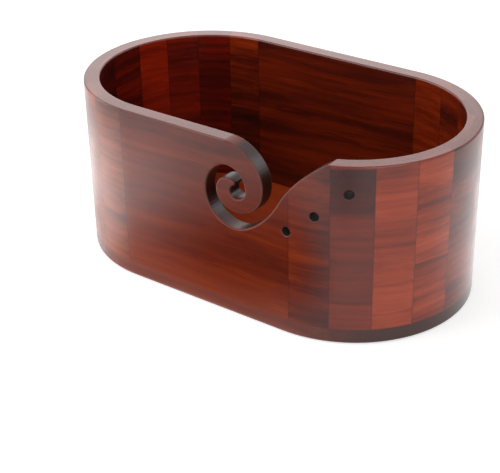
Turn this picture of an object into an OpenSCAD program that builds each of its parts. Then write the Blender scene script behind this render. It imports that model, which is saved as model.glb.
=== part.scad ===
// Wooden yarn dispenser box: an open bowl with two flat sides and two half-round ends.
// The wall is glued up from two long planks and nine narrow staves in each end, and
// stands on a flat base board. A scroll-shaped slot runs down from the rim at the front,
// and three round holes beside it guide the yarn.
// +X runs along the flat sides, the slot is on the -Y side, and Z is up from the table.

/* [Box] */
// Overall length, across the two rounded ends
box_l = 300; // [280:1:330]
// Overall width, across the two flat sides
box_w = 171; // [160:1:190]
// Overall height, from the table to the rim
box_h = 129; // [115:1:160]
// Thickness of the wall
wall_t = 11.6; // [9:0.1:15]
// Thickness of the base board that the wall stands on
base_t = 10.8; // [6:0.1:16]

/* [Staves] */
// How far each long plank runs round into the rounded end, in degrees
plank_past = 3.3; // [1:0.1:5]
// Angle that one stave takes up in the end; the middle stave takes what is left
stave_angle = 18.9; // [18:0.1:19.5]

/* [Edges] */
// Radius of the rounding along both edges of the rim
rim_round = 1.2; // [1.1:0.1:2]
// Radius of the rounding along the slot's edges, less than the rim's
slot_round = 1; // [0.5:0.1:1]
// Radius of the rounding under the base board
base_round = 1.6; // [0.5:0.1:3]

/* [Slot] */
// Where the tongue's outer edge leaves the rim, back from the start of the rounded end
slot_back = 47; // [42.5:0.5:54.5]

/* [Yarn holes] */
// Diameter of the three round holes
hole_d = 6.5; // [5:0.1:9]
// Width of the bevel at each hole's mouth
hole_bevel = 0.5; // [0.2:0.1:1]
// Lowest hole, round the outside of the wall, short of the front plank's joint
hole_1_short = 1.8; // [0:0.1:4]
// Lowest hole, below the rim
hole_1_drop = 52; // [49:0.1:60]
// Middle hole, round the outside of the wall, past the front plank's joint
hole_2_past = 18; // [14:0.1:21]
// Middle hole, below the rim
hole_2_drop = 36.9; // [34:0.1:42]
// Highest hole, round the outside of the wall, past the first stave's far joint
hole_3_past = 11.8; // [9:0.1:15]
// Highest hole, below the rim
hole_3_drop = 19.2; // [17:0.1:24]

/* [Hidden] */

// Staves in each rounded end, counted from the front round to the back
stave_count = 9;
// Staves next to the front plank that the slot and the holes may reach
cut_staves = 3;
// Radius of the rounded ends outside and inside, and their centre from the middle of the box
r_out = box_w / 2;
r_in = r_out - wall_t;
end_x = (box_l - box_w) / 2;
// Straight pieces that each rounded edge is drawn with
round_steps = 4;
// Largest distance between the slot's true arcs and the chords they are drawn with
chord_error = 0.03;
// How far a cutter reaches past the wood that it cuts
past = 10;

// The slot's outline as tangent arcs, each [radius, turn in degrees], a right turn negative.
// They start level on the rim and go round the tongue first, so the wood is on the right.
// The tongue's outer edge, round to the left of the tongue
tongue_arcs = [[33.5, -54], [25, -49], [21, -108], [12, -100]];
// The blunt end of the tongue and its small nose
tip_arcs = [[6.4, -30], [10.5, -49], [1.8, -47], [1.8, -81]];
// The round eye of the scroll
eye_arcs = [[4.6, 144], [7.3, 101]];
// The outer side of the channel, from the eye round to its lowest point
channel_arcs = [[15, 76], [13, 46], [23, 140]];
// The long side of the mouth, rising to the rim and a little past it
mouth_arcs = [[22, 41], [63.5, 31], [94, -35]];
slot_arcs = concat(tongue_arcs, tip_arcs, eye_arcs, channel_arcs, mouth_arcs);
// The outline starts this little above the rim, so that it sinks into the wood at an angle
slot_lead = 0.05;

// Yarn holes as [distance round the outside from the start of the rounded end, height]
holes = [
    [joint_along(0) - hole_1_short, box_h - hole_1_drop],
    [joint_along(0) + hole_2_past, box_h - hole_2_drop],
    [joint_along(1) + hole_3_past, box_h - hole_3_drop]
];

// Wood tones of the pieces, from the front round to the back
plank_tone = [0.40, 0.15, 0.09];
back_tone = [0.47, 0.18, 0.09];
base_tone = [0.30, 0.16, 0.14];
right_tones = [
    [0.42, 0.22, 0.17], [0.36, 0.19, 0.16], [0.58, 0.25, 0.18], [0.52, 0.24, 0.19], [0.45, 0.24, 0.20],
    [0.40, 0.17, 0.12], [0.42, 0.15, 0.10], [0.38, 0.12, 0.08], [0.45, 0.20, 0.13]
];
left_tones = [
    [0.50, 0.27, 0.21], [0.44, 0.22, 0.18], [0.40, 0.18, 0.13], [0.48, 0.22, 0.15], [0.42, 0.17, 0.11],
    [0.52, 0.20, 0.11], [0.33, 0.10, 0.06], [0.29, 0.09, 0.06], [0.41, 0.14, 0.08]
];

// Angle of joint i from the front of the box: 0 is the front plank's, stave_count the back's
function joint(i) = i < stave_count / 2
    ? plank_past + i * stave_angle
    : 180 - plank_past - (stave_count - i) * stave_angle;
// Distance round the outside from the start of the rounded end to joint i
function joint_along(i) = joint(i) * PI / 180 * r_out;

// Quarter round of radius r about [x, z], from one direction to another, in degrees
function quarter(x, z, r, from, to) =
    [for (i = [0 : round_steps]) let (a = from + (to - from) * i / round_steps)
        [x + r * cos(a), z + r * sin(a)]];

// Section through the wall: distance from the end's centre line, and height
wall_section = concat(
    [[r_in, base_t], [r_out, base_t]],
    quarter(r_out - rim_round, box_h - rim_round, rim_round, 0, 90),
    quarter(r_in + rim_round, box_h - rim_round, rim_round, 90, 180)
);
// Section through one half of the base board
base_section = concat(
    [[0, 0]],
    quarter(r_out - base_round, base_round, base_round, -90, 0),
    [[r_out, base_t], [0, base_t]]
);

// Front surfaces of the wall at a distance x from the middle, for the outside and the inside
function front_y(x, r) = -sqrt(pow(r, 2) - pow(max(abs(x) - end_x, 0), 2));

// A place on the slot's outline is [x, z, heading], and an arc leads from one to the next
function arc_place(place, arc, turned) =
    let (
        side = sign(arc[1]),
        heading = place[2] + turned,
        cx = place[0] - side * arc[0] * sin(place[2]),
        cz = place[1] + side * arc[0] * cos(place[2])
    )
    [cx + side * arc[0] * sin(heading), cz - side * arc[0] * cos(heading), heading];
function arc_steps(arc) = ceil(abs(arc[1]) / (2 * acos(1 - chord_error / arc[0])));
function arc_run(place, arc) =
    [for (i = [1 : arc_steps(arc)]) arc_place(place, arc, arc[1] * i / arc_steps(arc))];
function trace(place, arcs, i = 0) = i == len(arcs)
    ? []
    : concat(arc_run(place, arcs[i]), trace(arc_place(place, arcs[i], arcs[i][1]), arcs, i + 1));

slot_start = [end_x - slot_back, box_h + slot_lead, 0];
slot_places = concat([slot_start], trace(slot_start, slot_arcs));
slot_end = slot_places[len(slot_places) - 1];
// The outline moved into the wood by d, and closed above the rim
function slot_ring(d) = concat(
    [for (p = slot_places) [p[0] + d * sin(p[2]), p[1] - d * cos(p[2])]],
    [[slot_end[0] + past / 2, box_h + past], [slot_start[0] - past / 2, box_h + past]]
);

// The slot's cutter is skinned over rings of the outline. Each ring is [move into the wood,
// radius of the surface that it follows, depth from that surface], and a radius of 0 is flat.
// The two slopes at each surface stand for the rounding, and start a little outside the wood.
round_in = (1 - cos(45)) * slot_round;
lift = 0.2;
flare = slot_round + lift * (slot_round - round_in) / round_in;
slot_rings = [
    [flare, 0, -r_out - past],
    [flare, r_out, -lift],
    [round_in, r_out, round_in],
    [0, r_out, slot_round],
    [0, r_in, -slot_round],
    [round_in, r_in, -round_in],
    [flare, r_in, lift],
    [flare, 0, 0]
];
function ring_y(ring, x) = ring[2] + (ring[1] > 0 ? front_y(x, ring[1]) : 0);

module slot_cutter() {
    n = len(slot_places) + 2;
    last = len(slot_rings) - 1;
    points = [for (ring = slot_rings) for (q = slot_ring(ring[0])) [q[0], ring_y(ring, q[0]), q[1]]];
    sides = [
        for (k = [0 : last - 1]) for (i = [0 : n - 1])
            let (a = k * n + i, b = k * n + (i + 1) % n)
            for (f = [[a, b, b + n], [a, b + n, a + n]]) f
    ];
    front = [[for (i = [n - 1 : -1 : 0]) i]];
    back = [[for (i = [0 : n - 1]) last * n + i]];
    polyhedron(points = points, faces = concat(front, sides, back), convexity = 10);
}

// One round hole, square to the outside of the wall, with a bevel at both mouths
module hole_cutter(hole) {
    r = hole_d / 2;
    turn = max(hole[0], 0) / r_out * 180 / PI;
    translate([end_x + min(hole[0], 0), 0, hole[1]]) rotate([0, 0, turn]) rotate([90, 0, 0]) {
        translate([0, 0, r_in - past]) cylinder(r = r, h = wall_t + 2 * past, $fn = 64);
        translate([0, 0, r_out - hole_bevel])
            cylinder(r1 = r, r2 = r + 2 * hole_bevel, h = 2 * hole_bevel, $fn = 64);
        translate([0, 0, r_in - hole_bevel])
            cylinder(r1 = r + 2 * hole_bevel, r2 = r, h = 2 * hole_bevel, $fn = 64);
    }
}

module front_cuts() {
    slot_cutter();
    for (hole = holes) hole_cutter(hole);
}

// A section carried round the right end, between two angles from the front
module round_run(section, from, to) {
    translate([end_x, 0, 0]) rotate([0, 0, from - 90])
        rotate_extrude(angle = to - from, $fn = 180) polygon(section);
}

// A section carried along the front side, between the centres of the two ends
module straight_run(section) {
    translate([-end_x, 0, 0]) rotate([90, 0, 90]) linear_extrude(2 * end_x)
        polygon([for (q = section) [-q[0], q[1]]]);
}

// One long plank on the front side, with its ends turned a little into the rounded ends
module plank() {
    straight_run(wall_section);
    round_run(wall_section, 0, plank_past);
    mirror([1, 0, 0]) round_run(wall_section, 0, plank_past);
}

// Stave i of the right end, 1 next to the front plank
module stave(i) {
    round_run(wall_section, joint(i - 1), joint(i));
}

module right_stave(i) {
    color(right_tones[i - 1]) {
        if (i <= cut_staves) {
            difference() {
                stave(i);
                front_cuts();
            }
        } else {
            stave(i);
        }
    }
}

module left_stave(i) {
    color(left_tones[i - 1]) mirror([1, 0, 0]) stave(i);
}

module front_plank() {
    color(plank_tone) difference() {
        plank();
        front_cuts();
    }
}

module back_plank() {
    color(back_tone) mirror([0, 1, 0]) plank();
}

module base_board() {
    color(base_tone) {
        for (side = [0, 1]) {
            mirror([0, side, 0]) straight_run(base_section);
            mirror([side, 0, 0]) round_run(base_section, 0, 180);
        }
    }
}

front_plank();
back_plank();
base_board();
right_stave(1);  // right_stave_1
right_stave(2);  // right_stave_2
right_stave(3);  // right_stave_3
right_stave(4);  // right_stave_4
right_stave(5);  // right_stave_5
right_stave(6);  // right_stave_6
right_stave(7);  // right_stave_7
right_stave(8);  // right_stave_8
right_stave(9);  // right_stave_9
left_stave(1);  // left_stave_1
left_stave(2);  // left_stave_2
left_stave(3);  // left_stave_3
left_stave(4);  // left_stave_4
left_stave(5);  // left_stave_5
left_stave(6);  // left_stave_6
left_stave(7);  // left_stave_7
left_stave(8);  // left_stave_8
left_stave(9);  // left_stave_9
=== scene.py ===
"""Looks for the yarn dispenser box: stained and lacquered wood on every plank and stave."""

import math

import bpy
from mathutils import Matrix, Vector

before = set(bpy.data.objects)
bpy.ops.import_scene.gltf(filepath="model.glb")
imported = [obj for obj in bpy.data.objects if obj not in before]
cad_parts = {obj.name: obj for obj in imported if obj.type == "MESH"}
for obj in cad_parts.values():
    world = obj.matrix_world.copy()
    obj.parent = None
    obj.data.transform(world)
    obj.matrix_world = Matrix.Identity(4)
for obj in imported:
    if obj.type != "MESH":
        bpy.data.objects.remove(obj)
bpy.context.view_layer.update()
scene = bpy.context.scene

# Camera
AZIMUTH, ELEVATION, ROLL = (math.radians(a) for a in (36.880, 29.114, 1.183))
LENS, SENSOR = 92.103, 36           # mm
NEAR, FAR = 0.05, 20                # m
PLACE = Vector((0.478735, -0.671480, 0.472511))

back = Vector((math.sin(AZIMUTH) * math.cos(ELEVATION),
               -math.cos(AZIMUTH) * math.cos(ELEVATION), math.sin(ELEVATION)))
level = (-back).cross(Vector((0, 0, 1))).normalized()
down = (-back).cross(level)
right = math.cos(ROLL) * level + math.sin(ROLL) * down
up = -(-math.sin(ROLL) * level + math.cos(ROLL) * down)
camera = bpy.data.objects.new("camera", bpy.data.cameras.new("camera"))
camera.data.lens = LENS
camera.data.sensor_width = SENSOR
camera.data.clip_start = NEAR
camera.data.clip_end = FAR
camera.matrix_world = Matrix(((right.x, up.x, back.x, PLACE.x),
                              (right.y, up.y, back.y, PLACE.y),
                              (right.z, up.z, back.z, PLACE.z), (0, 0, 0, 1)))
scene.collection.objects.link(camera)
scene.camera = camera
scene.view_settings.view_transform = "Standard"


# Helpers for shader nodes
def put(socket, value):
    """Links a socket, or sets a plain value."""
    if isinstance(value, bpy.types.NodeSocket):
        socket.id_data.links.new(value, socket)
    else:
        socket.default_value = value


def add(tree, kind, inputs=(), **settings):
    """A new shader node, with its settings and its inputs by name or number."""
    node = tree.nodes.new("ShaderNode" + kind)
    for key, value in settings.items():
        setattr(node, key, value)
    for key, value in dict(inputs).items():
        put(node.inputs[key], value)
    return node


def maths(tree, operation, a, b=0.0, c=0.0):
    return add(tree, "Math", {0: a, 1: b, 2: c}, operation=operation).outputs[0]


def vector(tree, operation, a, b=(0, 0, 0)):
    node = add(tree, "VectorMath", {0: a, 1: b}, operation=operation)
    return node.outputs["Value" if operation in ("DOT_PRODUCT", "LENGTH") else "Vector"]


def scaled(tree, place, by):
    return vector(tree, "MULTIPLY", place, by)


def noise(tree, place, detail=2.0, roughness=0.5, output=0):
    return add(tree, "TexNoise", {"Vector": place, "Scale": 1.0, "Detail": detail,
                                  "Roughness": roughness}).outputs[output]


def smooth(tree, value, low, high, to_low=0.0, to_high=1.0):
    """A soft step from to_low to to_high, between two values."""
    return add(tree, "MapRange", {"Value": value, "From Min": low, "From Max": high,
                                  "To Min": to_low, "To Max": to_high},
               interpolation_type="SMOOTHSTEP").outputs[0]


def mix(tree, factor, a, b):
    """Two colours mixed. Each may be a socket or red, green and blue."""
    node = add(tree, "Mix", data_type="RGBA", blend_type="MIX")
    for index, value in ((0, factor), (6, a), (7, b)):
        plain = isinstance(value, (bpy.types.NodeSocket, float))
        put(node.inputs[index], value if plain else (*value, 1.0))
    return node.outputs[2]


def ramp(tree, factor, stops):
    """A ramp through (place, tone) or (place, colour)."""
    node = add(tree, "ValToRGB", {0: factor})
    marks = node.color_ramp.elements
    while len(marks) > 1:
        marks.remove(marks[0])
    for index, (place, tone) in enumerate(stops):
        mark = marks[0] if index == 0 else marks.new(place)
        mark.position = place
        mark.color = (tone, tone, tone, 1) if isinstance(tone, (int, float)) else (*tone, 1)
    return node.outputs[0]


def new_material(name):
    """A material with an empty node tree, and the tree."""
    material = bpy.data.materials.new(name)
    material.use_nodes = True
    material.node_tree.nodes.clear()
    return material, material.node_tree


def timber_group():
    """The figure of one board, as a solid: its own frame in mm, u along the grain, w up."""
    tree = bpy.data.node_groups.new("timber", "ShaderNodeTree")
    face = tree.interface
    face.new_socket(name="Board", in_out="INPUT", socket_type="NodeSocketVector")
    face.new_socket(name="Ring spacing", in_out="INPUT", socket_type="NodeSocketFloat")
    for name in ("Tone", "Fibre", "Drift"):
        face.new_socket(name=name, in_out="OUTPUT", socket_type="NodeSocketFloat")
    inside, outside = tree.nodes.new("NodeGroupInput"), tree.nodes.new("NodeGroupOutput")
    board = inside.outputs["Board"]

    # The grain wanders a few millimetres over the length of a board
    drift = noise(tree, scaled(tree, board, (0.009, 0.02, 0.02)), output="Color")
    wander = vector(tree, "SUBTRACT", drift, (0.5, 0.5, 0.5))
    bent = vector(tree, "ADD", board, scaled(tree, wander, (0, 11, 11)))
    # Growth rings round a pith line behind the face
    from_pith = vector(tree, "LENGTH", scaled(tree, bent, (0, 1, 1)))
    ring = maths(tree, "DIVIDE", from_pith, inside.outputs["Ring spacing"])
    wobble = maths(tree, "MULTIPLY", noise(tree, scaled(tree, bent, (0.02, 0.12, 0.12))), 1.4)
    late = maths(tree, "POWER", maths(tree, "FRACT", maths(tree, "ADD", ring, wobble)), 2.5)
    # Broad clouds, streaks and single fibres, each stretched along the grain
    broad = noise(tree, scaled(tree, bent, (0.009, 0.05, 0.05)), 1.0)
    streak = noise(tree, scaled(tree, bent, (0.010, 0.22, 0.22)), 3.0, 0.55)
    fibre = noise(tree, scaled(tree, bent, (0.03, 1.5, 1.5)), 2.0, 0.6)
    tone = 0.5
    for layer, weight in ((broad, 0.75), (streak, 0.75), (fibre, 0.4)):
        tone = maths(tree, "MULTIPLY_ADD", maths(tree, "SUBTRACT", layer, 0.5), weight, tone)
    put(outside.inputs["Tone"], maths(tree, "MULTIPLY_ADD", late, -0.09, tone))
    put(outside.inputs["Fibre"], fibre)
    put(outside.inputs["Drift"], maths(tree, "SUBTRACT", broad, 0.5))
    return tree


TIMBER = timber_group()

# The box, in mm and degrees: where the rounded ends begin, and the glue joints round each end
END_X, HEIGHT, R_OUT = 64.5, 129.0, 85.5
JOINTS = (3.3, 22.2, 41.1, 60.0, 78.9, 101.1, 120.0, 138.9, 157.8, 176.7)
# The yarn holes: how far round the outside of the right end, and how high
J0, J1 = (math.radians(JOINTS[i]) * R_OUT for i in (0, 1))
HOLES = ((J0 - 1.8, HEIGHT - 52), (J0 + 18.0, HEIGHT - 36.9), (J1 + 11.8, HEIGHT - 19.2))
BORE = 0.00325                      # m, their radius

# Stained wood from its darkest tone to its lightest
REDWOOD = ((0.0, (0.014, 0.003, 0.002)), (0.30, (0.060, 0.0055, 0.0020)),
           (0.5, (0.135, 0.0120, 0.0022)), (0.75, (0.250, 0.025, 0.0035)),
           (1.0, (0.38, 0.050, 0.010)))
# ORANGE, paler and more orange, is partly the wood's own colour and partly painted light on the
# left end
ORANGE = ((0.0, (0.030, 0.006, 0.003)), (0.30, (0.095, 0.013, 0.004)),
          (0.5, (0.180, 0.028, 0.007)), (0.75, (0.290, 0.050, 0.012)),
          (1.0, (0.42, 0.085, 0.022)))
RUSSET = ((0.0, (0.018, 0.004, 0.002)), (0.30, (0.066, 0.0062, 0.0018)),
          (0.5, (0.138, 0.0135, 0.0020)), (0.75, (0.250, 0.030, 0.0033)),
          (1.0, (0.38, 0.056, 0.011)))
# CRIMSON is used only on faces inside the bowl: a deeper red there, as painted shade
CRIMSON = ((0.0, (0.014, 0.002, 0.0015)), (0.30, (0.060, 0.0032, 0.0014)),
           (0.5, (0.135, 0.0065, 0.0014)), (0.75, (0.250, 0.013, 0.0018)),
           (1.0, (0.38, 0.030, 0.005)))
BROWN = ((0.0, (0.040, 0.009, 0.006)), (0.30, (0.075, 0.012, 0.006)),
         (0.5, (0.150, 0.026, 0.013)), (0.75, (0.240, 0.046, 0.022)),
         (1.0, (0.33, 0.070, 0.034)))
# The first colour here is the rubbed edges' paler colour: partly wear, partly a painted highlight
# The last colour here is painted shade inside the bores
WORN_AND_HIGHLIGHT, GLUE, HOLE_SHADE = (0.50, 0.24, 0.17), (0.02, 0.004, 0.003), (0.012, 0.004, 0.003)

CUT_STAIN_AND_SHADE = -0.30                    # of slot cut faces and bore walls: darker stain plus painted shade
WORN_AND_HIGHLIGHT_COVER = 0.05                   # how far the rubbed edges take their paler colour, which is also a painted highlight
RIM_COVER = 0.75                    # how far the rim's top takes its own tone
RIM_FIGURE, RIM_TONE = 0.5, 0.28
GLUE_COVER, GLUE_REACH = 0.45, (0.0001, 0.0006)
HOLE_REACH = (0.00008, 0.00025)     # m beyond the bore's wall
DARK_ROUGH, PALE_ROUGH = 0.27, 0.20
CUT_ROUGH, WORN_ROUGH, HOLE_ROUGH = 0.06, 0.30, 0.85
PORE_STRENGTH, PORE_DEPTH = 0.10, 0.0004
LACQUER_IOR = 1.5


def wood(name, turn, ends, offset, shift=0.0, tilt=0.0, spacing=7.0,
         bands=((0, 0.5), (129, 0.5)), stops=REDWOOD, inner_stops=None, figure=1.0,
         sweep=0.0, sweep_from=-1.0, inner=0.0, floor_tone=0.0, end_tone=-0.22,
         sawn=True, holes=()):
    """Lacquered wood of one piece.

    turn is the angle of its grain round Z, and tilt how the grain slopes, in degrees. ends are its
    glue joints as (centre x of the rounded end, angle). offset says where in the log it was sawn,
    and spacing how far its growth rings lie apart. figure is how strongly the grain shows.
    Tone: shift moves all of it, bands by height, sweep per mm along the grain from sweep_from (m)
    on, inner on the side that faces the bowl's inside, as painted shade, end_tone on end grain.
    floor_tone is for the base board, pales its upward face as painted light from above, and keeps
    the sweep and the rim's tone off it.
    Colour: stops, and inner_stops instead of them on the inside, where a deeper red paints shade.
    sawn adds the looks of cut faces, a darker stain with painted shade, and of rubbed edges, paler
    with a painted highlight; holes adds those of the bores, whose walls are painted near black as
    shade."""
    material, tree = new_material(name)
    place = add(tree, "TexCoord").outputs["Object"]
    board = add(tree, "Mapping", {"Vector": place, "Scale": (1000, 1000, 1000),
                                  "Rotation": (0, 0, -math.radians(turn))}).outputs[0]
    board = add(tree, "Mapping", {"Vector": board, "Rotation": (0, math.radians(tilt), 0),
                                  "Location": offset}).outputs[0]
    timber = add(tree, "Group", node_tree=TIMBER)
    put(timber.inputs["Board"], board)
    put(timber.inputs["Ring spacing"], spacing)

    # Bands up the piece
    height = add(tree, "SeparateXYZ", {0: place}).outputs["Z"]
    height = maths(tree, "MULTIPLY_ADD", timber.outputs["Drift"], 0.05,
                   maths(tree, "DIVIDE", height, HEIGHT / 1000))
    band = ramp(tree, height, [(z / HEIGHT, tone) for z, tone in bands])
    tone = maths(tree, "MULTIPLY_ADD", maths(tree, "SUBTRACT", timber.outputs["Tone"], 0.5),
                 figure, shift)
    tone = maths(tree, "ADD", tone, band)

    # End grain drinks the stain
    normal = add(tree, "NewGeometry").outputs["Normal"]
    grain = (math.cos(math.radians(turn)), math.sin(math.radians(turn)), 0)
    with_grain = maths(tree, "ABSOLUTE", vector(tree, "DOT_PRODUCT", normal, grain))
    tone = maths(tree, "MULTIPLY_ADD", smooth(tree, with_grain, 0.35, 0.9), end_tone, tone)
    up_facing = smooth(tree, add(tree, "SeparateXYZ", {0: normal}).outputs["Z"], 0.5, 0.9)

    # A slow change along the grain; on the base board it is painted shade, darker towards the
    # right
    if sweep:
        start = (ends[0][0] / 1000 if ends else 0.0, 0, 0)
        along = vector(tree, "DOT_PRODUCT", vector(tree, "SUBTRACT", place, start), grain)
        along = maths(tree, "MULTIPLY", maths(tree, "MAXIMUM", along, sweep_from), 1000 * sweep)
        if floor_tone:
            along = maths(tree, "MULTIPLY", along, maths(tree, "SUBTRACT", 1.0, up_facing))
        tone = maths(tree, "ADD", along, tone)

    # The inside of the bowl: inner and inner_stops make its faces darker and a deeper red,
    # as painted shade where little light reaches
    across = (math.sin(math.radians(turn)), -math.cos(math.radians(turn)), 0)
    facing = vector(tree, "DOT_PRODUCT", add(tree, "NewGeometry").outputs["True Normal"], across)
    inside_face = smooth(tree, facing, -0.9, -0.5, 1.0, 0.0)
    if inner:
        tone = maths(tree, "MULTIPLY_ADD", inside_face, inner, tone)
    # The base board's upward face is made paler: painted light, where light falls on it from above
    if floor_tone:
        tone = maths(tree, "MULTIPLY_ADD", up_facing, floor_tone, tone)

    cut = worn_and_highlight = 0.0
    if sawn:
        # The slot's cut faces and the holes' walls are darker and duller than the rest: partly
        # their own darker stain, partly painted shade down in the slot and the bores
        square = maths(tree, "ABSOLUTE", facing)
        below_rim = smooth(tree, height, 125.5 / HEIGHT, 127.5 / HEIGHT, 1.0, 0.0)
        cut = maths(tree, "MULTIPLY", smooth(tree, square, 0.2, 0.5, 1.0, 0.0), below_rim)
        tone = maths(tree, "MULTIPLY_ADD", cut, CUT_STAIN_AND_SHADE, tone)
        # The rounded edges of the slot are rubbed a little paler, and this paler colour is also a
        # painted highlight along them
        worn_and_highlight = maths(tree, "MULTIPLY", smooth(tree, square, 0.17, 0.24),
                     smooth(tree, square, 0.970, 0.980, 1.0, 0.0))
        worn_and_highlight = maths(tree, "MULTIPLY", worn_and_highlight, below_rim)

    colour = ramp(tree, tone, stops)
    if inner_stops:
        colour = mix(tree, inside_face, colour, ramp(tree, tone, inner_stops))
    if floor_tone:
        colour = mix(tree, up_facing, colour, ramp(tree, tone, REDWOOD))
    if sawn:
        colour = mix(tree, maths(tree, "MULTIPLY", worn_and_highlight, WORN_AND_HIGHLIGHT_COVER), colour, WORN_AND_HIGHLIGHT)
    if not floor_tone:
        # The top of the rim has much the same tone all round
        rim = smooth(tree, height, 126.5 / HEIGHT, 128.0 / HEIGHT, 0.0, RIM_COVER)
        rim = maths(tree, "MULTIPLY", up_facing, rim)
        rim_tone = maths(tree, "MULTIPLY_ADD", timber.outputs["Tone"], RIM_FIGURE, RIM_TONE)
        colour = mix(tree, rim, colour, ramp(tree, rim_tone, REDWOOD))

    # Glue lines at the piece's ends
    if ends:
        gaps = []
        for centre, angle in ends:
            a = math.radians(angle)
            away = vector(tree, "SUBTRACT", place, (centre / 1000, 0, 0))
            side = 1 if centre > 0 else -1
            joint = (side * math.cos(a), math.sin(a), 0)
            gaps.append(maths(tree, "ABSOLUTE", vector(tree, "DOT_PRODUCT", away, joint)))
        line = smooth(tree, maths(tree, "MINIMUM", *gaps), *GLUE_REACH, GLUE_COVER, 0.0)
        colour = mix(tree, line, colour, GLUE)

    rough = smooth(tree, tone, 0.0, 1.0, DARK_ROUGH, PALE_ROUGH)
    rough = maths(tree, "MULTIPLY_ADD", cut, CUT_ROUGH, rough)
    rough = maths(tree, "MULTIPLY_ADD", worn_and_highlight, WORN_ROUGH, rough)
    # Each bore's wall is painted near black, as the shade inside the hole
    for along, hole_z in holes:
        a = max(along, 0) / R_OUT
        axis = (math.sin(a), -math.cos(a), 0)
        start = ((END_X + min(along, 0)) / 1000, 0, hole_z / 1000)
        from_start = vector(tree, "SUBTRACT", place, start)
        off = vector(tree, "LENGTH", vector(tree, "CROSS_PRODUCT", from_start, axis))
        bore = smooth(tree, off, BORE + HOLE_REACH[0], BORE + HOLE_REACH[1], 1.0, 0.0)
        colour = mix(tree, bore, colour, HOLE_SHADE)
        rough = maths(tree, "MAXIMUM", rough, maths(tree, "MULTIPLY", bore, HOLE_ROUGH))

    bump = add(tree, "Bump", {"Strength": PORE_STRENGTH, "Distance": PORE_DEPTH,
                              "Height": timber.outputs["Fibre"]}).outputs[0]
    shader = add(tree, "BsdfPrincipled", {"Base Color": colour, "Roughness": rough,
                                          "Normal": bump, "IOR": LACQUER_IOR})
    output = add(tree, "OutputMaterial", {"Surface": shader.outputs[0]})
    output.is_active_output = True
    return material


def dress(node, material):
    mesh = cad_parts[node].data
    mesh.materials.clear()
    mesh.materials.append(material)


# The staves, in the order that sets where in the log each was sawn.
# Bands are (height in mm, tone), where 0.5 is the wood's own tone.
LOOKS = {
    "right_stave_1": dict(shift=-0.06, stops=RUSSET, sweep=-0.008, figure=0.7, holes=HOLES[:2],
                          bands=((0, 0.48), (40, 0.5), (90, 0.56), (129, 0.5))),
    "right_stave_2": dict(shift=0.02, tilt=1.5, figure=0.45, holes=HOLES[2:],
                          bands=((0, 0.54), (17, 0.56), (18.7, 0.44), (20, 0.58), (29, 0.58),
                                 (30.6, 0.42), (33, 0.5), (93, 0.5), (97, 0.34), (101, 0.18),
                                 (126.6, 0.14), (127.6, 0.5), (129, 0.5))),
    "right_stave_3": dict(shift=0.29, tilt=-1.0, figure=0.7,
                          bands=((0, 0.44), (22, 0.44), (23, 0.34), (24, 0.52), (42, 0.54),
                                 (44, 0.40), (46, 0.5), (69, 0.46), (71, 0.34), (73, 0.5),
                                 (87, 0.50), (89, 0.42), (91, 0.55), (109, 0.60), (111, 0.38),
                                 (113, 0.45), (129, 0.45))),
    "right_stave_4": dict(shift=0.23, tilt=2.0,
                          bands=((0, 0.5), (40, 0.5), (51, 0.36), (55, 0.18), (56.5, 0.72),
                                 (58, 0.62), (75, 0.60), (77, 0.46), (100, 0.5), (129, 0.46))),
    "right_stave_5": dict(shift=0.02,
                          bands=((0, 0.5), (60, 0.5), (103, 0.5), (107, 0.30), (129, 0.36))),
    "right_stave_6": dict(shift=0.0),
    "right_stave_7": dict(shift=-0.03),
    "right_stave_8": dict(shift=0.02),
    "right_stave_9": dict(shift=0.15),
    # The left end's two front staves are paler and more orange: partly their own colour, partly
    # painted light from the left
    "left_stave_1": dict(shift=0.15, sweep=-0.008, stops=ORANGE, figure=0.8,
                         bands=((0, 0.57), (40, 0.55), (75, 0.5), (95, 0.46), (129, 0.36))),
    "left_stave_2": dict(shift=0.22, stops=ORANGE, figure=0.8,
                         bands=((0, 0.5), (75, 0.5), (129, 0.40))),
    # inner and inner_stops paint shade on the faces inside the bowl, darker and a deeper red
    "left_stave_3": dict(shift=-0.04, inner=-0.2),
    "left_stave_4": dict(shift=0.02, inner=-0.38, inner_stops=CRIMSON),
    "left_stave_5": dict(shift=-0.20, inner_stops=CRIMSON),
    "left_stave_6": dict(shift=0.17, figure=0.8, inner_stops=CRIMSON),
    "left_stave_7": dict(shift=-0.02, figure=0.8, inner_stops=CRIMSON),
    "left_stave_8": dict(shift=-0.10, figure=0.8, inner_stops=CRIMSON),
    "left_stave_9": dict(shift=-0.06, bands=((0, 0.30), (60, 0.32), (100, 0.52), (129, 0.62))),
}
for number, (node, look) in enumerate(LOOKS.items()):
    i = int(node[-1])
    side = 1 if node.startswith("right") else -1
    middle = (JOINTS[i - 1] + JOINTS[i]) / 2
    offset = (137.0 * number + 41, -38.0 - 9 * (number % 5), 61.0 * number - 300)
    ends = [(side * END_X, JOINTS[i - 1]), (side * END_X, JOINTS[i])]
    dress(node, wood(node, side * middle, ends, offset, **look))
dress("front_plank", wood("front_plank", 0, [(END_X, JOINTS[0]), (-END_X, JOINTS[0])],
                          (20, 0, -70), tilt=1.2, spacing=9.0, figure=0.52, sweep=-0.0004,
                          holes=HOLES[:1], stops=RUSSET,
                          bands=((0, 0.68), (25, 0.65), (48, 0.50), (70, 0.43), (88, 0.48),
                                 (110, 0.46), (129, 0.41))))
# inner paints shade on the back plank's face inside the bowl
dress("back_plank", wood("back_plank", 180, [(END_X, JOINTS[9]), (-END_X, JOINTS[9])],
                         (410, 0, 33), tilt=-2.0, spacing=10.0, inner=-0.09, figure=0.7))
# The base board: its outside is painted darker towards the right, as shade, and its upward face
# paler, as light from above
dress("base_board", wood("base_board", 0, [], (900, 30, 5), shift=0.33, floor_tone=0.13,
                         end_tone=-0.42, sweep=-0.0050, sweep_from=0.030, figure=0.5,
                         stops=BROWN, sawn=False))

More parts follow.
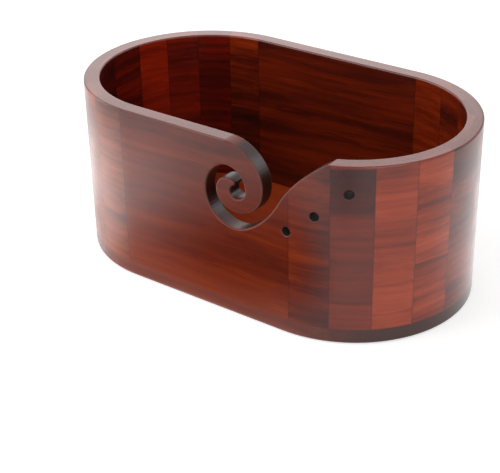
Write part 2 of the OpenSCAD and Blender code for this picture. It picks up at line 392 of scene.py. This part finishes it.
# Studio
WHITE = (1, 1, 1, 1)
FLOOR_REACH, FLOOR_Z = 6, -0.0003   # m
FLOOR_GREY, FLOOR_GLOW = (0.8, 0.8, 0.8, 1), 0.45
SKY_LIGHT, SKY_GLOW = 0.55, 0.45    # what falls on things, and what is added where it is seen


def flat_square(name, centre, reach, z):
    """A flat square in the scene, facing up."""
    mesh = bpy.data.meshes.new(name)
    mesh.from_pydata([(centre[0] + sx * reach, centre[1] + sy * reach, z)
                      for sx, sy in ((-1, -1), (1, -1), (1, 1), (-1, 1))], [], [(0, 1, 2, 3)])
    thing = bpy.data.objects.new(name, mesh)
    scene.collection.objects.link(thing)
    return thing


def looked_at(tree):
    """1 where a thing is seen, directly or as a reflection, and 0 where it only lights others."""
    path = add(tree, "LightPath")
    mirrored = maths(tree, "MAXIMUM", path.outputs["Is Camera Ray"], path.outputs["Is Glossy Ray"])
    return maths(tree, "MAXIMUM", mirrored, path.outputs["Is Transmission Ray"])


floor = flat_square("floor", (0, 0), FLOOR_REACH, FLOOR_Z)
white, tree = new_material("floor")
glow = add(tree, "Emission", {"Color": WHITE,
                              "Strength": maths(tree, "MULTIPLY", looked_at(tree), FLOOR_GLOW)})
matt = add(tree, "BsdfDiffuse", {"Color": FLOOR_GREY})
both = add(tree, "AddShader", {0: glow.outputs[0], 1: matt.outputs[0]})
add(tree, "OutputMaterial", {"Surface": both.outputs[0]})
floor.data.materials.append(white)

world = bpy.data.worlds.new("studio")
scene.world = world
world.use_nodes = True
tree = world.node_tree
tree.nodes.clear()
strength = maths(tree, "MULTIPLY_ADD", looked_at(tree), SKY_GLOW, SKY_LIGHT)
sky = add(tree, "Background", {"Color": WHITE, "Strength": strength})
add(tree, "OutputWorld", {"Surface": sky.outputs[0]})


def lamp(name, place, target, width, height, watts):
    data = bpy.data.lights.new(name, "AREA")
    data.shape = "RECTANGLE"
    data.size, data.size_y, data.energy = width, height, watts
    thing = bpy.data.objects.new(name, data)
    thing.location = place
    aim = Vector(target) - Vector(place)
    thing.rotation_euler = aim.to_track_quat("-Z", "Y").to_euler()
    scene.collection.objects.link(thing)


lamp("key", (-0.9, -1.0, 1.3), (0, 0, 0.06), 1.0, 1.0, 10)
lamp("fill", (1.3, -0.7, 0.9), (0, 0, 0.06), 1.0, 1.0, 8.5)
lamp("side", (-1.2, -0.35, 0.55), (-0.1, 0, 0.06), 0.7, 0.7, 5)
lamp("rim", (-1.15, 1.32, 0.75), (0, 0, 0.1), 1.35, 0.7, 4.1)
lamp("back", (0.85, 1.25, 0.85), (0, 0, 0.1), 0.6, 0.6, 2.0)


def card(name, centre, level, reach, strength, cover, solid=0.1):
    """A soft round card just over the floor, seen only as a reflection in the lacquer.

    It is level metres up and reach wide each way. cover is how much it hides, out to solid of its
    reach, and from there it fades to nothing."""
    thing = flat_square(name, centre, reach, level)
    for ray in ("camera", "diffuse", "shadow", "transmission", "volume_scatter"):
        setattr(thing, "visible_" + ray, False)
    material, tree = new_material(name)
    spot = add(tree, "Mapping", {"Vector": add(tree, "TexCoord").outputs["Object"],
                                 "Location": (-centre[0], -centre[1], 0)})
    from_centre = vector(tree, "LENGTH", scaled(tree, spot.outputs[0], (1, 1, 0)))
    away = maths(tree, "DIVIDE", from_centre, reach)
    amount = smooth(tree, away, solid, 1.0, cover, 0.0)
    clear = add(tree, "BsdfTransparent")
    glow = add(tree, "Emission", {"Color": WHITE, "Strength": strength})
    both = add(tree, "MixShader", {0: amount, 1: clear.outputs[0], 2: glow.outputs[0]})
    add(tree, "OutputMaterial", {"Surface": both.outputs[0]})
    thing.data.materials.append(material)


# Four dark cards keep white glare off the front, and four pale ones brighten the two ends.
# Each lies at its own height, as cards at one height would hide each other.
card("flag", (-0.005, -0.168), 0.0025, 0.145, 0.0, 1.0, 0.25)
card("front flag", (0.060, -0.190), 0.0020, 0.09, 0.3, 0.6, 0.2)
card("far flag", (0.212, -0.300), 0.0015, 0.09, 0.2, 0.85, 0.2)
card("high flag", (-0.120, -0.275), 0.0014, 0.11, 0.4, 0.32, 0.3)
card("left card", (-0.220, -0.165), 0.0012, 0.125, 3.2, 0.95, 0.35)
card("low left card", (-0.145, -0.115), 0.0010, 0.07, 2.4, 0.7)
card("far left card", (-0.275, -0.070), 0.0009, 0.125, 2.3, 0.9, 0.3)
card("right card", (0.210, 0.140), 0.0006, 0.19, 2.0, 0.85, 0.3)
